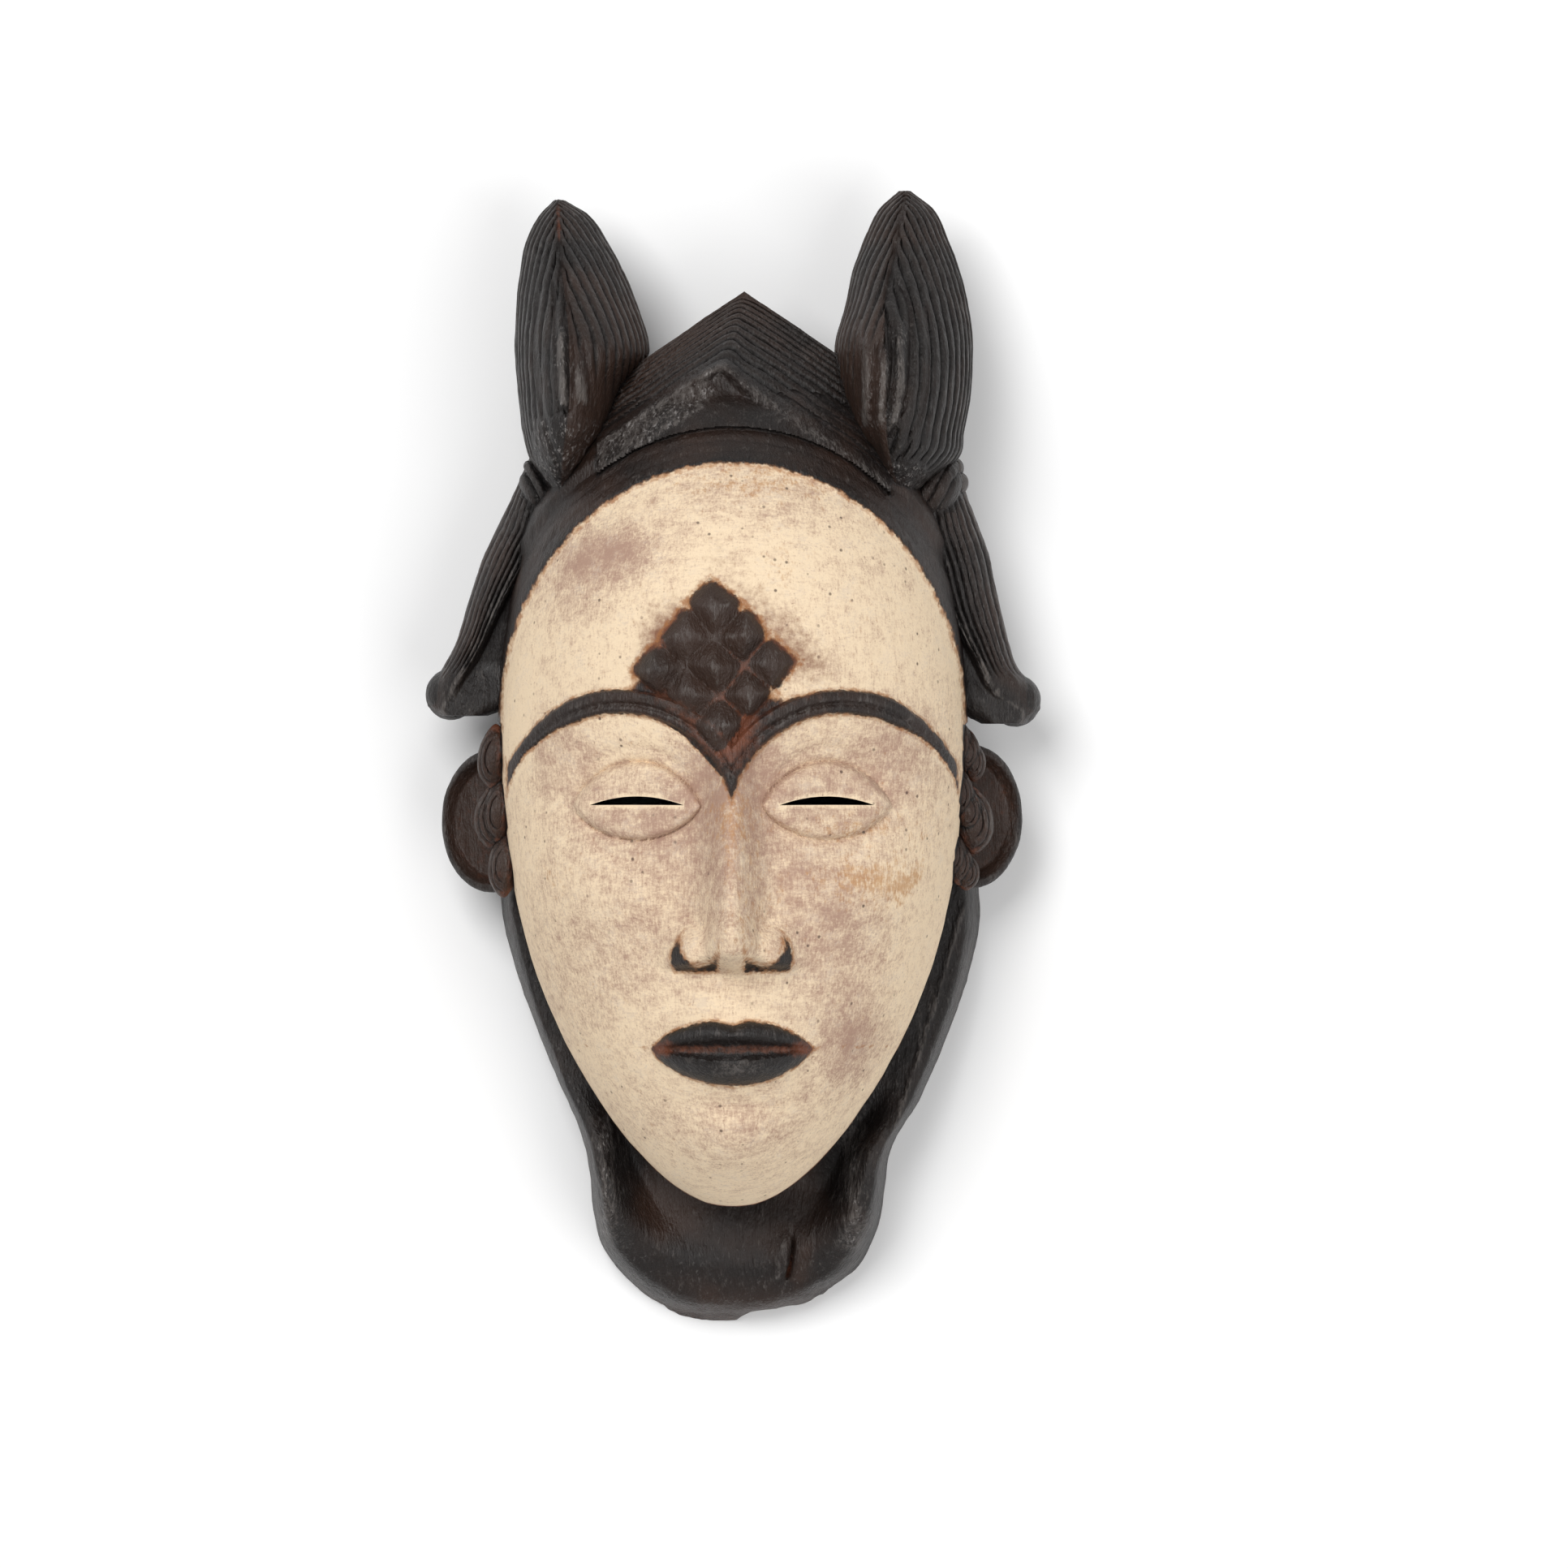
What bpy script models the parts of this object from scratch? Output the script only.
"""White-faced dance mask carved from one block of wood.

The mask lies on the flat rim of its hollow back, face up. X runs to the right of
the face as it is looked at, Y up to the hair, and Z out of the face. Metres.
"""

import math

import bmesh
import bpy
import numpy as np

# Head: an egg in plan, domed towards the viewer, with a wall down to the rim.
HEAD_HALF_WIDTH = 0.0720
HEAD_MID_Y = 0.0080
HEAD_UP = 0.1100
HEAD_DOWN = 0.1475
HEAD_SQUARENESS = 0.20
JAW_TAPER = 0.30
JAW_TAPER_POWER = 2.6
FACE_EDGE_Z = 0.0440
DOME_HEIGHT = 0.0690
CHIN_UNDERCUT = 0.13
SIDE_UNDERCUT = 0.03
WALL_SHARE = 0.7
BELOW_RIM = 0.004

# Headband: it stands proud of the face outside one ellipse, and the hair outside a second.
HAIRLINE_MID_Y = 0.0100
HAIRLINE_RADII = (0.0715, 0.0785)
HEADBAND_RAISE = 0.0010
HAIR_EDGE_RADII = (0.0775, 0.0915)
HAIR_RAISE = 0.0022

# Face, laid out by thirds from the hairline to the chin and by fifths across.
FACE_TOP_Y = 0.0880
FACE_BOTTOM_Y = -0.1395
FACE_THIRD = (FACE_TOP_Y - FACE_BOTTOM_Y) / 3
FACE_FIFTH = 2 * HEAD_HALF_WIDTH / 5
BROW_Y = FACE_TOP_Y - FACE_THIRD
NOSE_BASE_Y = BROW_Y - FACE_THIRD
MOUTH_Y = NOSE_BASE_Y - FACE_THIRD / 3
CHIN_Y = NOSE_BASE_Y - 0.74 * FACE_THIRD
EYE_Y = BROW_Y - 0.36 * FACE_THIRD
EYE_X = FACE_FIFTH
EYE_HALF_LENGTH = FACE_FIFTH / 2
EYE_HALF_GAP = 0.0013
EYE_ARCH = 0.0014
LID_RADII = (0.0195, 0.0118)
LID_HEIGHT = 0.0062
SOCKET_DEPTH = 0.0095

BROW_RADIUS = 0.0390
BROW_CENTRE_X = 0.0340
BROW_CENTRE_Y = BROW_Y + 0.004 - BROW_RADIUS
BROW_HALF_WIDTH = 0.0026
BROW_RAISE = 0.0019
BROW_OUTER_X = 0.0665

NOSE_ROOT_Y = BROW_Y - 0.009
NOSE_TIP_Y = NOSE_BASE_Y + 0.0065
NOSE_TIP_HEIGHT = 0.0215
NOSE_WING_X = 0.0112
NOSE_WING_RADII = (0.0082, 0.0088)
NOSE_WING_HEIGHT = 0.0105
NOSTRIL_X = 0.0066

MOUTH_HALF_LENGTH = 0.0245
UPPER_LIP = 0.0092
LOWER_LIP = 0.0112
LIP_RAISE = 0.0062
LIP_PARTING = 0.0017

# Forehead ornament: a diamond of three by three small pyramids.
DIAMOND_CENTRE = (-0.0045, 0.0305)
DIAMOND_HALF_WIDTH = 0.0255
DIAMOND_HALF_HEIGHT = 0.0240
DIAMOND_ROWS = 3
DIAMOND_BASE = 0.0012
DIAMOND_PEAK = 0.0034

# Hair crest: a gabled bun between the lobes.
CREST_PEAK = (0.0035, 0.1436)
CREST_SLOPE = 0.68
CREST_HALF_WIDTH = 0.0450
CREST_FOOT_Y = 0.0780
CREST_BACK_Z = -0.0030
CREST_BACK_SHRINK = 0.30
CREST_EDGE_Z = 0.0505
CREST_UPPER_LEAN = 1.12
CREST_LOWER_LEAN = 0.34
CREST_STEP_DROP = 0.0255
CREST_STEP_RAISE = 0.0024
CREST_SIDE_FALL = 0.0035

# Hair lobes: leaf-shaped horns, as (y, x of inner side, x of keel, x of outer side).
LOBE_LEFT = (
    (0.0790, -0.0530, -0.0538, -0.0545), (0.0900, -0.0420, -0.0530, -0.0620),
    (0.1050, -0.0280, -0.0505, -0.0658), (0.1260, -0.0240, -0.0500, -0.0675),
    (0.1400, -0.0298, -0.0515, -0.0672), (0.1500, -0.0338, -0.0530, -0.0661),
    (0.1600, -0.0392, -0.0540, -0.0641), (0.1680, -0.0450, -0.0542, -0.0600),
    (0.1725, -0.0520, -0.0540, -0.0555),
)
LOBE_RIGHT = (
    (0.0780, 0.0520, 0.0525, 0.0530), (0.0900, 0.0420, 0.0520, 0.0690),
    (0.1050, 0.0320, 0.0490, 0.0725), (0.1260, 0.0310, 0.0475, 0.0744),
    (0.1400, 0.0349, 0.0470, 0.0729), (0.1500, 0.0369, 0.0485, 0.0704),
    (0.1600, 0.0407, 0.0505, 0.0668), (0.1700, 0.0455, 0.0525, 0.0621),
    (0.1755, 0.0515, 0.0530, 0.0545),
)
# Depth of a lobe against y: keel in front, plane of greatest width, back, roundness of the front.
LOBE_DEPTH = (
    (0.0780, 0.0640, 0.0520, 0.0300, 2.2), (0.0900, 0.0810, 0.0500, 0.0200, 2.1),
    (0.1050, 0.0880, 0.0470, 0.0150, 2.0), (0.1260, 0.0840, 0.0440, 0.0150, 1.8),
    (0.1450, 0.0710, 0.0420, 0.0180, 1.5), (0.1600, 0.0580, 0.0400, 0.0230, 1.4),
    (0.1760, 0.0420, 0.0370, 0.0320, 1.4),
)

# Side hair: a flaring tress at each temple that ends in a curl, laid out as the lobes are.
TRESS_LEFT = (
    (0.0930, -0.0560, -0.0600, -0.0635), (0.0800, -0.0500, -0.0600, -0.0688),
    (0.0650, -0.0520, -0.0640, -0.0761), (0.0500, -0.0560, -0.0690, -0.0817),
    (0.0350, -0.0600, -0.0740, -0.0862), (0.0250, -0.0630, -0.0760, -0.0905),
    (0.0160, -0.0660, -0.0780, -0.0915), (0.0125, -0.0760, -0.0800, -0.0840),
)
TRESS_RIGHT = (
    (0.0930, 0.0560, 0.0620, 0.0700), (0.0800, 0.0500, 0.0620, 0.0729),
    (0.0650, 0.0520, 0.0660, 0.0787), (0.0500, 0.0560, 0.0700, 0.0822),
    (0.0350, 0.0600, 0.0740, 0.0857), (0.0250, 0.0630, 0.0760, 0.0890),
    (0.0140, 0.0660, 0.0790, 0.0920), (0.0100, 0.0770, 0.0820, 0.0870),
)
TRESS_DEPTH = (
    (0.0100, 0.0500, 0.0420, 0.0300, 2.6), (0.0300, 0.0560, 0.0430, 0.0270, 2.8),
    (0.0600, 0.0590, 0.0430, 0.0220, 2.8), (0.0930, 0.0600, 0.0420, 0.0200, 2.4),
)
TRESS_SLANT = 0.25
CURL_LEFT = (-0.0885, 0.0190, 0.0400)
CURL_RIGHT = (0.0885, 0.0168, 0.0400)
CURL_RADII = (0.0072, 0.0070, 0.0115)
KNOT_LEFT = (-0.0585, 0.0880, 0.0480)
KNOT_RIGHT = (0.0640, 0.0880, 0.0480)
KNOT_RADII = (0.0085, 0.0080, 0.0150)

# Ears: dished shells standing out behind the temples, and a row of curls before them.
EAR_LEFT = (-0.0735, -0.0205)
EAR_RIGHT = (0.0728, -0.0185)
EAR_Z = 0.0370
EAR_REACH = 0.0178
EAR_HALF_HEIGHT = 0.0222
EAR_SWEEP = math.radians(28)
EAR_RIM = 0.0030
EAR_DISH = 0.0060
EAR_BACK = 0.0075
CURL_ROW_X = 0.0728
CURL_ROW_TOP_Y = -0.0020
CURL_ROW_STEP = 0.0155
CURL_ROW_Z = 0.0500
CURL_ROW_RADII = (0.0044, 0.0086, 0.0070)
CURL_ROW_COUNT = 3

# Collar: the rim that runs behind the jaw and out below the chin, as (y, half width).
COLLAR_TOP_Y = 0.0250
COLLAR_LEFT = (
    (0.0250, 0.0640), (0.0100, 0.0710), (-0.0200, 0.0762), (-0.0450, 0.0748), (-0.0700, 0.0678), (-0.1000, 0.0562),
    (-0.1170, 0.0482), (-0.1300, 0.0460), (-0.1480, 0.0435), (-0.1580, 0.0390),
    (-0.1670, 0.0300), (-0.1718, 0.0205), (-0.1755, 0.0000),
)
COLLAR_RIGHT = (
    (0.0250, 0.0640), (0.0100, 0.0715), (-0.0200, 0.0785), (-0.0450, 0.0788), (-0.0700, 0.0736), (-0.1000, 0.0622),
    (-0.1170, 0.0535), (-0.1280, 0.0490), (-0.1480, 0.0450), (-0.1580, 0.0402),
    (-0.1670, 0.0290), (-0.1715, 0.0180), (-0.1755, 0.0000),
)
COLLAR_MID_Y = -0.0800
# Height of the collar's lip and of the recess inside it, against y.
COLLAR_LIP = (
    (0.0250, 0.0260), (-0.0300, 0.0300), (-0.0700, 0.0310), (-0.1000, 0.0350), (-0.1250, 0.0400),
    (-0.1420, 0.0360), (-0.1530, 0.0270), (-0.1620, 0.0215), (-0.1720, 0.0160), (-0.1755, 0.0110),
)
COLLAR_FLOOR = (
    (0.0250, 0.0260), (-0.0700, 0.0330), (-0.1000, 0.0340), (-0.1180, 0.0270),
    (-0.1350, 0.0195), (-0.1500, 0.0215), (-0.1620, 0.0205), (-0.1755, 0.0110),
)
COLLAR_ROUND = 0.075
COLLAR_LIP_WIDTH = 0.10
COLLAR_INNER_SLOPE = 0.16

# Hollow of the back: an egg again, leaving the wall of the head.
HOLLOW_HALF_WIDTH = 0.0600
HOLLOW_MID_Y = 0.0000
HOLLOW_UP = 0.0860
HOLLOW_DOWN = 0.1170
HOLLOW_HEIGHT = 0.1000
HOLLOW_TAPER = 0.28
SCOOP_CENTRE = (0.0, -0.1200, 0.0)
SCOOP_RADII = (0.0340, 0.0400, 0.0110)

VOXEL = 0.0013
SMOOTH_ROUNDS = 2
KEEP_SHARE = 0.033


def soft_step(low, high, value):
    """Rise from 0 to 1 between low and high."""
    t = np.clip((value - low) / (high - low), 0.0, 1.0)
    return t * t * (3.0 - 2.0 * t)


def along(stations, column, at):
    """Smooth curve through one column of a list of stations, read at each value."""
    rows = sorted(stations)
    keys = np.array([row[0] for row in rows])
    values = np.array([row[column] for row in rows])
    steps = np.diff(keys)
    slopes = np.diff(values) / steps
    tangents = np.zeros(len(keys))
    tangents[1:-1] = np.where(slopes[:-1] * slopes[1:] > 0, (slopes[:-1] + slopes[1:]) / 2, 0.0)
    tangents[0] = slopes[0]
    tangents[-1] = slopes[-1]
    at = np.clip(at, keys[0], keys[-1])
    index = np.clip(np.searchsorted(keys, at) - 1, 0, len(steps) - 1)
    t = (at - keys[index]) / steps[index]
    span = steps[index]
    left = (1 + 2 * t) * (1 - t) ** 2 * values[index] + t * (1 - t) ** 2 * span * tangents[index]
    right = t * t * (3 - 2 * t) * values[index + 1] + t * t * (t - 1) * span * tangents[index + 1]
    return left + right


def mound(x, y, centre, radii, height):
    """Soft round mound, or a hollow where the height is negative."""
    return height * np.exp(-((x - centre[0]) / radii[0]) ** 2 - ((y - centre[1]) / radii[1]) ** 2)


def cap(x, y, centre, radii, height):
    """Top of an ellipsoid, zero outside its outline."""
    inside = 1 - ((x - centre[0]) / radii[0]) ** 2 - ((y - centre[1]) / radii[1]) ** 2
    return height * np.sqrt(np.clip(inside, 0.0, None))


def brow_distance(x, y):
    """Signed distance from the middle of the nearer brow arc."""
    return np.hypot(np.abs(x) - BROW_CENTRE_X, y - BROW_CENTRE_Y) - BROW_RADIUS


def nose(x, y):
    """Height of the nose: a widening ridge, its tip and two wings."""
    run = (NOSE_ROOT_Y - y) / (NOSE_ROOT_Y - NOSE_TIP_Y)
    rise = soft_step(-0.35, 1.0, run)
    under = soft_step(NOSE_BASE_Y - 0.0045, NOSE_BASE_Y + 0.0035, y)
    half = 0.0062 + 0.0036 * np.clip(run, 0.0, 1.1)
    ridge = NOSE_TIP_HEIGHT * rise * under * np.exp(-np.abs(x / half) ** 2.4)
    wings = cap(np.abs(x), y, (NOSE_WING_X, NOSE_BASE_Y + 0.0068), NOSE_WING_RADII, NOSE_WING_HEIGHT)
    nostril = mound(np.abs(x), y, (NOSTRIL_X, NOSE_BASE_Y + 0.0005), (0.0030, 0.0026), -0.0050)
    return np.sqrt(ridge ** 2 + wings ** 2) + nostril


def mouth(x, y):
    """Height of the two lips and the narrow parting between them."""
    across = np.clip(1 - (x / MOUTH_HALF_LENGTH) ** 2, 0.0, 1.0)
    bow = 0.0016 * np.exp(-(x / 0.0042) ** 2)
    top = UPPER_LIP * across ** 0.75 - bow * across
    bottom = LOWER_LIP * across ** 0.70
    offset = y - MOUTH_Y
    share = np.where(offset > 0, offset / np.maximum(top, 1e-5), -offset / np.maximum(bottom, 1e-5))
    full = np.sqrt(np.clip(1 - share ** 2.4, 0.0, 1.0)) * np.sqrt(across)
    gap = LIP_PARTING * np.clip(1 - (x / (0.78 * MOUTH_HALF_LENGTH)) ** 2, 0.0, 1.0)
    crease = np.exp(-(offset / (0.0012 + gap)) ** 4) * np.sqrt(across)
    return LIP_RAISE * full - 0.0042 * crease


def diamonds(x, y):
    """Height of the forehead ornament."""
    u = (x - DIAMOND_CENTRE[0]) / DIAMOND_HALF_WIDTH
    v = (y - DIAMOND_CENTRE[1]) / DIAMOND_HALF_HEIGHT
    a = (u + v + 1) / 2 * DIAMOND_ROWS
    b = (v - u + 1) / 2 * DIAMOND_ROWS
    inside = np.minimum.reduce([a, b, DIAMOND_ROWS - a, DIAMOND_ROWS - b])
    facet = 2 * np.minimum.reduce([a % 1, b % 1, 1 - a % 1, 1 - b % 1])
    return np.where(inside > 0, DIAMOND_BASE + DIAMOND_PEAK * facet, 0.0)


def face_relief(x, y):
    """Everything that stands out of, or sinks into, the plain dome of the face."""
    side = np.abs(x)
    relief = mound(x, y, (0, 0.050), (0.048, 0.034), 0.0040)
    relief += mound(side, y, (EYE_X, EYE_Y + 0.004), (0.0200, 0.0150), -SOCKET_DEPTH)
    relief += cap(side, y, (EYE_X, EYE_Y), LID_RADII, LID_HEIGHT)
    relief += mound(side, y, (0.044, EYE_Y - 0.022), (0.020, 0.017), 0.0028)
    relief += mound(x, y, (0, MOUTH_Y), (0.032, 0.024), 0.0060)
    relief += mound(x, y, (0, CHIN_Y), (0.017, 0.012), 0.0075)
    relief += mound(x, y, (0, MOUTH_Y - 0.0175), (0.014, 0.005), -0.0022)
    relief += nose(x, y) + mouth(x, y)
    band = 1 - soft_step(BROW_HALF_WIDTH - 0.0006, BROW_HALF_WIDTH + 0.0006, np.abs(brow_distance(x, y)))
    band *= (y > BROW_CENTRE_Y) * (1 - soft_step(BROW_OUTER_X - 0.003, BROW_OUTER_X, side))
    return relief + np.maximum(BROW_RAISE * band, diamonds(x, y))


def around_pole(ball):
    """Distance from the ball's pole line, and cosine and sine of the way round it."""
    radius = np.hypot(ball[:, 0], ball[:, 1])
    angle = np.arctan2(ball[:, 1], ball[:, 0])
    return radius, np.cos(angle), np.sin(angle)


def plan_of_egg(ball, half_width, mid_y, up, down, squareness, taper):
    """Spread a unit ball's points over an egg-shaped plan."""
    radius, c, s = around_pole(ball)
    power = 2 + squareness * soft_step(0.0, 0.5, s)
    spread = (np.abs(c) ** power + np.abs(s) ** power) ** (-1 / power)
    reach = radius * spread
    low = np.clip(-reach * s, 0.0, 1.0)
    x = half_width * reach * c * (1 - taper * low ** JAW_TAPER_POWER)
    y = mid_y + np.where(s > 0, up, down) * reach * s
    return x, y


def drop_to_rim(ball, undercut):
    """Below the equator: share of the wall travelled, and scale of the plan there."""
    fall = np.degrees(np.arcsin(np.clip(-ball[:, 2], 0.0, 1.0))) / 90
    wall = np.clip(fall / WALL_SHARE, 0.0, 1.0)
    floor_scale = 1 - soft_step(WALL_SHARE, 1.0, fall)
    radius = np.maximum(np.hypot(ball[:, 0], ball[:, 1]), 1e-6)
    return wall, (1 - undercut * wall) * floor_scale / radius


def head(ball):
    """Dome of skull and face, with the wall behind it."""
    x, y = plan_of_egg(ball, HEAD_HALF_WIDTH, HEAD_MID_Y, HEAD_UP, HEAD_DOWN, HEAD_SQUARENESS, JAW_TAPER)
    front = ball[:, 2] >= 0
    rise = np.clip(ball[:, 2], 0.0, 1.0)
    relief = face_relief(x, y) * soft_step(0.03, 0.22, rise)
    band = np.hypot(x / HAIRLINE_RADII[0], (y - HAIRLINE_MID_Y) / HAIRLINE_RADII[1])
    hair = np.hypot(x / HAIR_EDGE_RADII[0], (y - HAIRLINE_MID_Y) / HAIR_EDGE_RADII[1])
    raised = HEADBAND_RAISE * soft_step(0.994, 1.006, band) + HAIR_RAISE * soft_step(0.99, 1.01, hair)
    raised = raised * (y > HAIRLINE_MID_Y)
    down = np.clip(-ball[:, 1], 0.0, 1.0)
    wall, scale = drop_to_rim(ball, SIDE_UNDERCUT + CHIN_UNDERCUT * down ** 2)
    scale = np.where(front, 1.0, scale)
    z = np.where(front, FACE_EDGE_Z + DOME_HEIGHT * rise + relief, FACE_EDGE_Z - (FACE_EDGE_Z + BELOW_RIM) * wall)
    outward = raised[:, None] * ball
    return np.column_stack([x * scale, HEAD_MID_Y + (y - HEAD_MID_Y) * scale, z]) + outward


def crest(ball):
    """Gabled block of hair whose front leans back."""
    mid_y = (CREST_PEAK[1] + CREST_FOOT_Y) / 2
    y = mid_y + (CREST_PEAK[1] - CREST_FOOT_Y) / 2 * ball[:, 2]
    _, c, s = around_pole(ball)
    square = np.maximum(np.abs(c), np.abs(s))
    half = np.minimum((CREST_PEAK[1] - y) / CREST_SLOPE, CREST_HALF_WIDTH)
    x = CREST_PEAK[0] + half * c / square
    drop = CREST_PEAK[1] - y - CREST_SLOPE * np.abs(x - CREST_PEAK[0])
    upper = np.minimum(drop, CREST_STEP_DROP)
    front = CREST_EDGE_Z + CREST_UPPER_LEAN * upper + CREST_LOWER_LEAN * (drop - upper)
    lip = np.exp(-((drop - CREST_STEP_DROP) / 0.0022) ** 2)
    front += CREST_STEP_RAISE * lip - CREST_SIDE_FALL * soft_step(0.028, 0.050, np.abs(x))
    edge = np.hypot(x / HAIR_EDGE_RADII[0], (y - HAIRLINE_MID_Y) / HAIR_EDGE_RADII[1])
    front -= 0.020 * (1 - soft_step(0.975, 1.0, edge))
    share = (1 + s / square) / 2
    z = CREST_BACK_Z + (front - CREST_BACK_Z) * share
    scale = 1 - CREST_BACK_SHRINK * (1 - share)
    return np.column_stack([x * scale, CREST_FOOT_Y + (y - CREST_FOOT_Y) * scale, z])


def leaf(ball, outline, depth, slant=0.0):
    """Leaf-shaped form standing along Y, between the two sides of an outline."""
    low = min(row[0] for row in outline)
    high = max(row[0] for row in outline)
    y = (low + high) / 2 + (high - low) / 2 * ball[:, 2]
    _, c, s = around_pole(ball)
    inner, keel_x, outer = (along(outline, column, y) for column in (1, 2, 3))
    x = (inner + outer) / 2 + np.abs(outer - inner) / 2 * c
    edge = np.where((x > keel_x) == (outer > inner), outer, inner)
    off_keel = np.clip((x - keel_x) / (edge - keel_x), 0.0, 1.0)
    keel, middle, back, roundness = (along(depth, column, y) for column in (1, 2, 3, 4))
    front = (keel - middle) * (1 - off_keel ** roundness) ** 0.75
    rear = (middle - back) * np.abs(s)
    z = middle + np.where(s > 0, front, -rear) - slant * np.abs(x - inner)
    return np.column_stack([x, y, z])


def ellipsoid(ball, centre, radii):
    """Plain ellipsoid."""
    return np.array(centre) + ball * np.array(radii)


def ear(ball, centre, side):
    """Dished shell with a rounded rim, swept back from the temple."""
    radius = np.hypot(ball[:, 0], ball[:, 1])
    rim = EAR_RIM * np.sqrt(np.clip(1 - radius ** 6, 0.0, 1.0))
    dish = EAR_DISH * (1 - soft_step(0.40, 0.88, radius))
    back = EAR_BACK * np.sqrt(np.clip(1 - radius ** 2, 0.0, 1.0))
    out = EAR_REACH * ball[:, 0]
    lift = np.where(ball[:, 2] > 0, rim - dish, -back)
    x = out * math.cos(EAR_SWEEP) + lift * math.sin(EAR_SWEEP)
    z = lift * math.cos(EAR_SWEEP) - out * math.sin(EAR_SWEEP)
    return np.column_stack([centre[0] + side * x, centre[1] + EAR_HALF_HEIGHT * ball[:, 1], EAR_Z + z])


def collar(ball):
    """Rim behind the jaw with a raised lip, dished under the chin."""
    bottom_y = COLLAR_LEFT[-1][0]
    reach = np.where(ball[:, 1] > 0, COLLAR_TOP_Y - COLLAR_MID_Y, COLLAR_MID_Y - bottom_y)
    y = COLLAR_MID_Y + reach * ball[:, 1]
    half = np.where(ball[:, 0] < 0, along(COLLAR_LEFT, 1, y), along(COLLAR_RIGHT, 1, y))
    row = np.sqrt(np.maximum(1 - ball[:, 1] ** 2, 1e-9))
    x = half * ball[:, 0] / row * np.where(ball[:, 1] > 0, row ** 0.3, 1.0)
    radius = np.hypot(ball[:, 0], ball[:, 1])
    inward = 1 - radius
    lip = along(COLLAR_LIP, 1, y)
    floor = along(COLLAR_FLOOR, 1, y)
    rise = 1 - (1 - np.clip(inward / COLLAR_ROUND, 0.0, 1.0)) ** 2.6
    fall = soft_step(COLLAR_LIP_WIDTH, COLLAR_LIP_WIDTH + COLLAR_INNER_SLOPE, inward)
    top = lip * rise - (lip - floor) * fall
    z = np.where(ball[:, 2] > 0, top, -BELOW_RIM * np.clip(-ball[:, 2] * 3, 0.0, 1.0))
    return np.column_stack([x, y, z])


def hollow(ball):
    """Egg-shaped hollow, open at the rim."""
    x, y = plan_of_egg(ball, HOLLOW_HALF_WIDTH, HOLLOW_MID_Y, HOLLOW_UP, HOLLOW_DOWN, 0.0, HOLLOW_TAPER)
    z = np.where(ball[:, 2] >= 0, HOLLOW_HEIGHT * ball[:, 2], 3 * BELOW_RIM * ball[:, 2])
    return np.column_stack([x, y, z])


def shaped_ball(name, rings, shape, *sizes):
    """Mesh object made from a ball primitive whose points a shape function places."""
    work = bmesh.new()
    bmesh.ops.create_uvsphere(work, u_segments=2 * rings, v_segments=rings, radius=1.0)
    ball = np.array([vert.co[:] for vert in work.verts])
    for vert, point in zip(work.verts, shape(ball, *sizes)):
        vert.co = point
    bmesh.ops.recalc_face_normals(work, faces=work.faces)
    mesh = bpy.data.meshes.new(name)
    work.to_mesh(mesh)
    work.free()
    return bpy.data.objects.new(name, mesh)


def eye_slit(name, side):
    """Cutter for one eye: a tall lens that goes through the wall."""
    work = bmesh.new()
    bmesh.ops.create_cone(work, cap_ends=True, segments=28, radius1=1.0, radius2=1.0, depth=0.09)
    for vert in work.verts:
        across, up, tall = vert.co
        lens = math.copysign(1 - across ** 2, up) if abs(across) < 0.999 else 0.0
        arch = EYE_ARCH * (1 - across ** 2)
        vert.co = (side * EYE_X + EYE_HALF_LENGTH * across, EYE_Y + EYE_HALF_GAP * lens + arch, 0.105 + tall)
    mesh = bpy.data.meshes.new(name)
    work.to_mesh(mesh)
    work.free()
    return bpy.data.objects.new(name, mesh)


def floor_block(name):
    """Cutter for the flat rim: everything below the plane the mask lies on."""
    work = bmesh.new()
    bmesh.ops.create_cube(work, size=1.0)
    for vert in work.verts:
        vert.co = (0.4 * vert.co.x, 0.6 * vert.co.y, 0.05 * (vert.co.z - 0.5))
    mesh = bpy.data.meshes.new(name)
    work.to_mesh(mesh)
    work.free()
    return bpy.data.objects.new(name, mesh)


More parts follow.
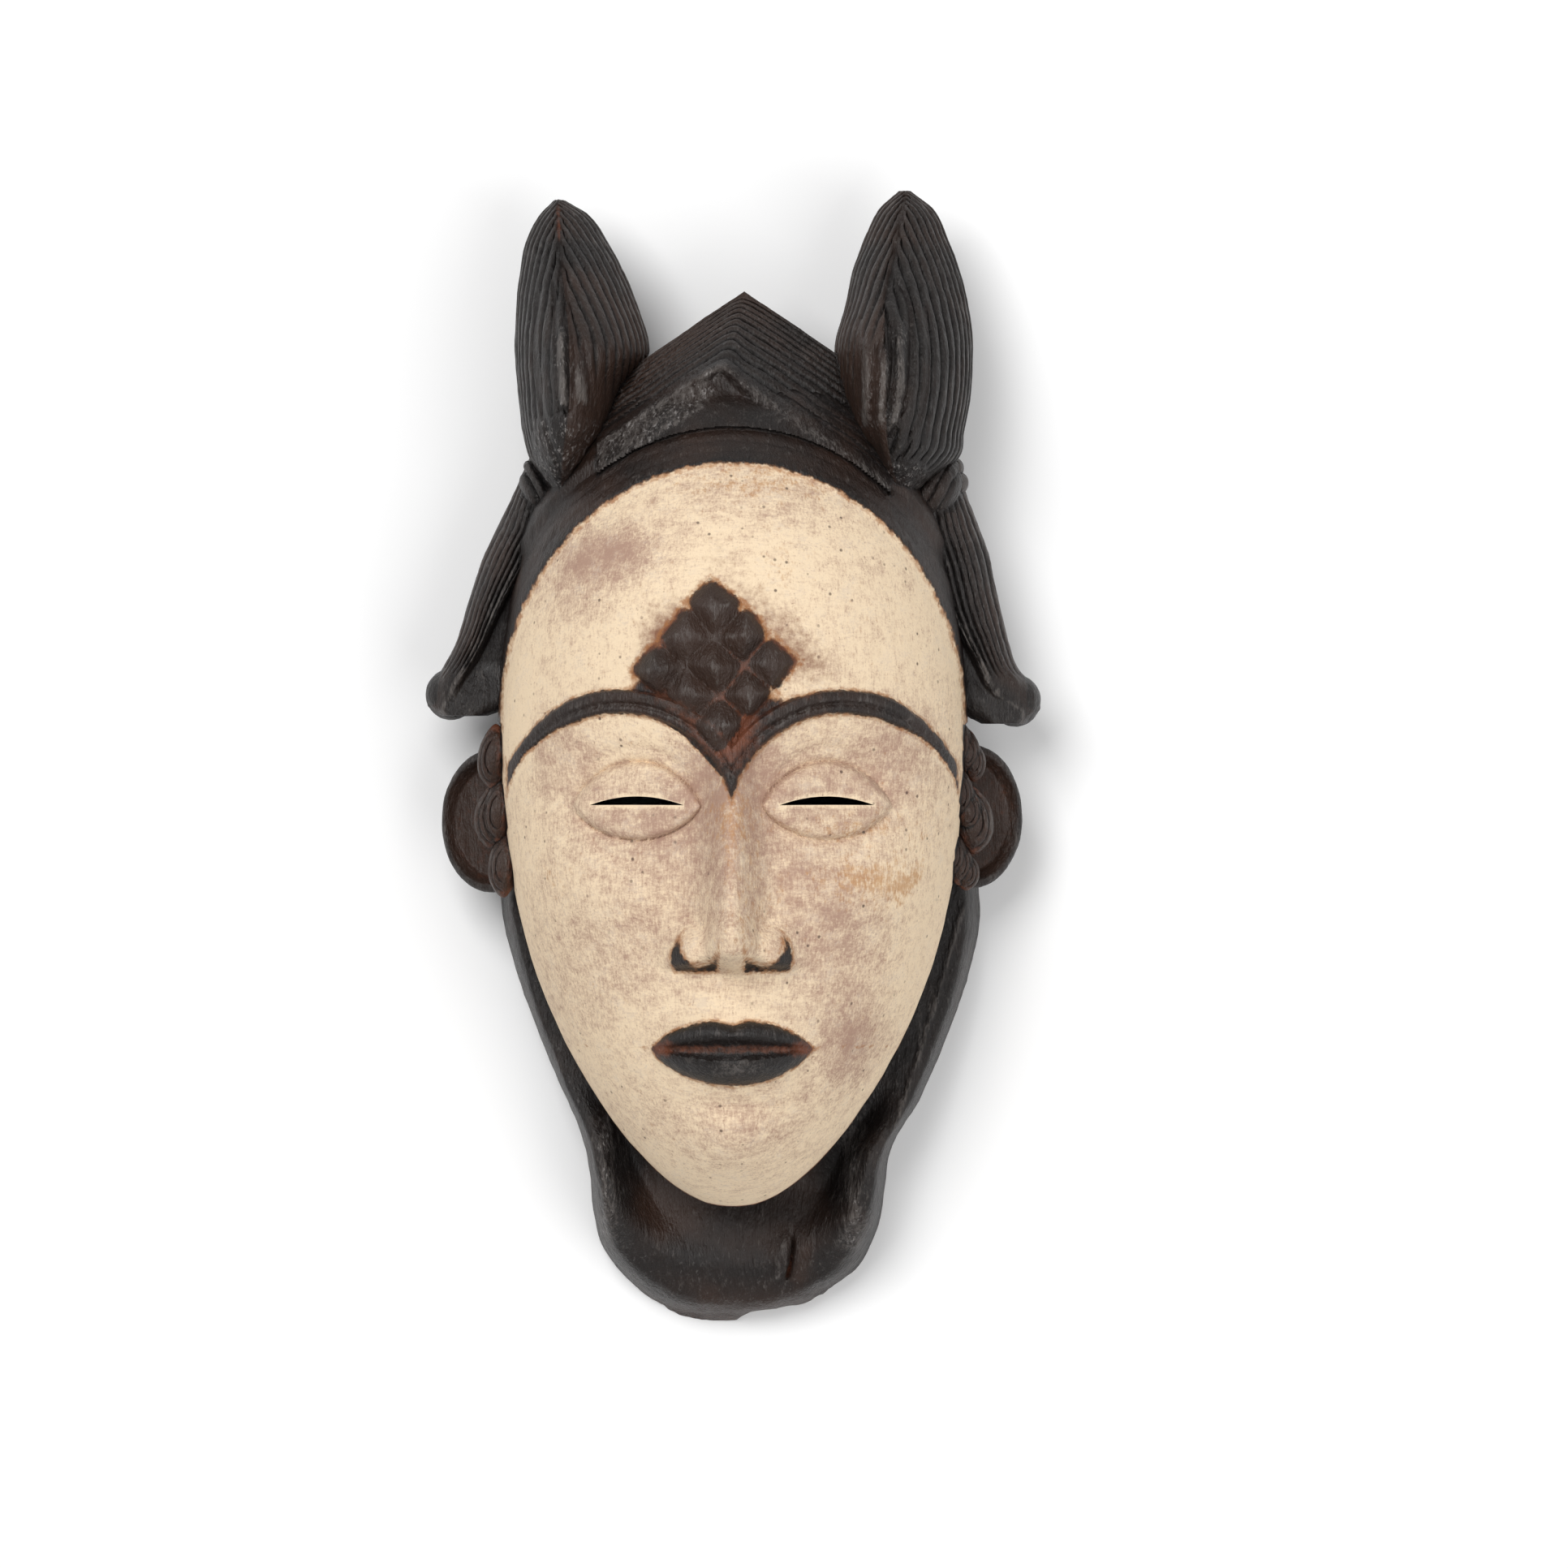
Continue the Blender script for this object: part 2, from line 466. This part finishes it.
def carved_block():
    """All carved forms of the mask in one mesh, before they are made one body."""
    forms = [
        shaped_ball("head", 150, head),
        shaped_ball("crest", 80, crest),
        shaped_ball("lobe_left", 60, leaf, LOBE_LEFT, LOBE_DEPTH),
        shaped_ball("lobe_right", 60, leaf, LOBE_RIGHT, LOBE_DEPTH),
        shaped_ball("tress_left", 48, leaf, TRESS_LEFT, TRESS_DEPTH, TRESS_SLANT),
        shaped_ball("tress_right", 48, leaf, TRESS_RIGHT, TRESS_DEPTH, TRESS_SLANT),
        shaped_ball("curl_left", 16, ellipsoid, CURL_LEFT, CURL_RADII),
        shaped_ball("curl_right", 16, ellipsoid, CURL_RIGHT, CURL_RADII),
        shaped_ball("knot_left", 16, ellipsoid, KNOT_LEFT, KNOT_RADII),
        shaped_ball("knot_right", 16, ellipsoid, KNOT_RIGHT, KNOT_RADII),
        shaped_ball("ear_left", 40, ear, EAR_LEFT, -1),
        shaped_ball("ear_right", 40, ear, EAR_RIGHT, 1),
        shaped_ball("collar", 110, collar),
    ]
    for side in (-1, 1):
        for index in range(CURL_ROW_COUNT):
            centre = (side * CURL_ROW_X, CURL_ROW_TOP_Y - CURL_ROW_STEP * index, CURL_ROW_Z)
            forms.append(shaped_ball("temple_curl", 16, ellipsoid, centre, CURL_ROW_RADII))
    joined = bmesh.new()
    for form in forms:
        joined.from_mesh(form.data)
        bpy.data.objects.remove(form)
    mesh = bpy.data.meshes.new("carved_mask")
    joined.to_mesh(mesh)
    joined.free()
    return bpy.data.objects.new("carved_mask", mesh)


def painted_wood():
    """Dark painted wood with a dull sheen."""
    material = bpy.data.materials.new("painted_wood")
    material.use_nodes = True
    shader = material.node_tree.nodes["Principled BSDF"]
    shader.inputs["Base Color"].default_value = (0.62, 0.52, 0.40, 1.0)
    shader.inputs["Roughness"].default_value = 0.75
    shader.inputs["Metallic"].default_value = 0.0
    return material


for leftover in list(bpy.data.objects):
    bpy.data.objects.remove(leftover)

parts = bpy.data.collections.new("punu_mask")
cutters = bpy.data.collections.new("cutters")
for collection in (parts, cutters):
    bpy.context.scene.collection.children.link(collection)

mask = carved_block()
parts.objects.link(mask)
mask.data.materials.append(painted_wood())

join = mask.modifiers.new("join the carved forms", "REMESH")
join.mode = "VOXEL"
join.voxel_size = VOXEL
soften = mask.modifiers.new("soften the joins", "SMOOTH")
soften.factor = 0.5
soften.iterations = SMOOTH_ROUNDS
thin_out = mask.modifiers.new("fewer facets", "DECIMATE")
thin_out.ratio = KEEP_SHARE

for cutter in (
    shaped_ball("hollow_cutter", 22, hollow),
    shaped_ball("collar_scoop_cutter", 14, ellipsoid, SCOOP_CENTRE, SCOOP_RADII),
    eye_slit("left_eye_cutter", -1),
    eye_slit("right_eye_cutter", 1),
    floor_block("floor_cutter"),
):
    cutters.objects.link(cutter)
    cutter.display_type = "WIRE"
    cutter.hide_render = True
    cut = mask.modifiers.new(cutter.name, "BOOLEAN")
    cut.operation = "DIFFERENCE"
    cut.solver = "EXACT"
    cut.object = cutter
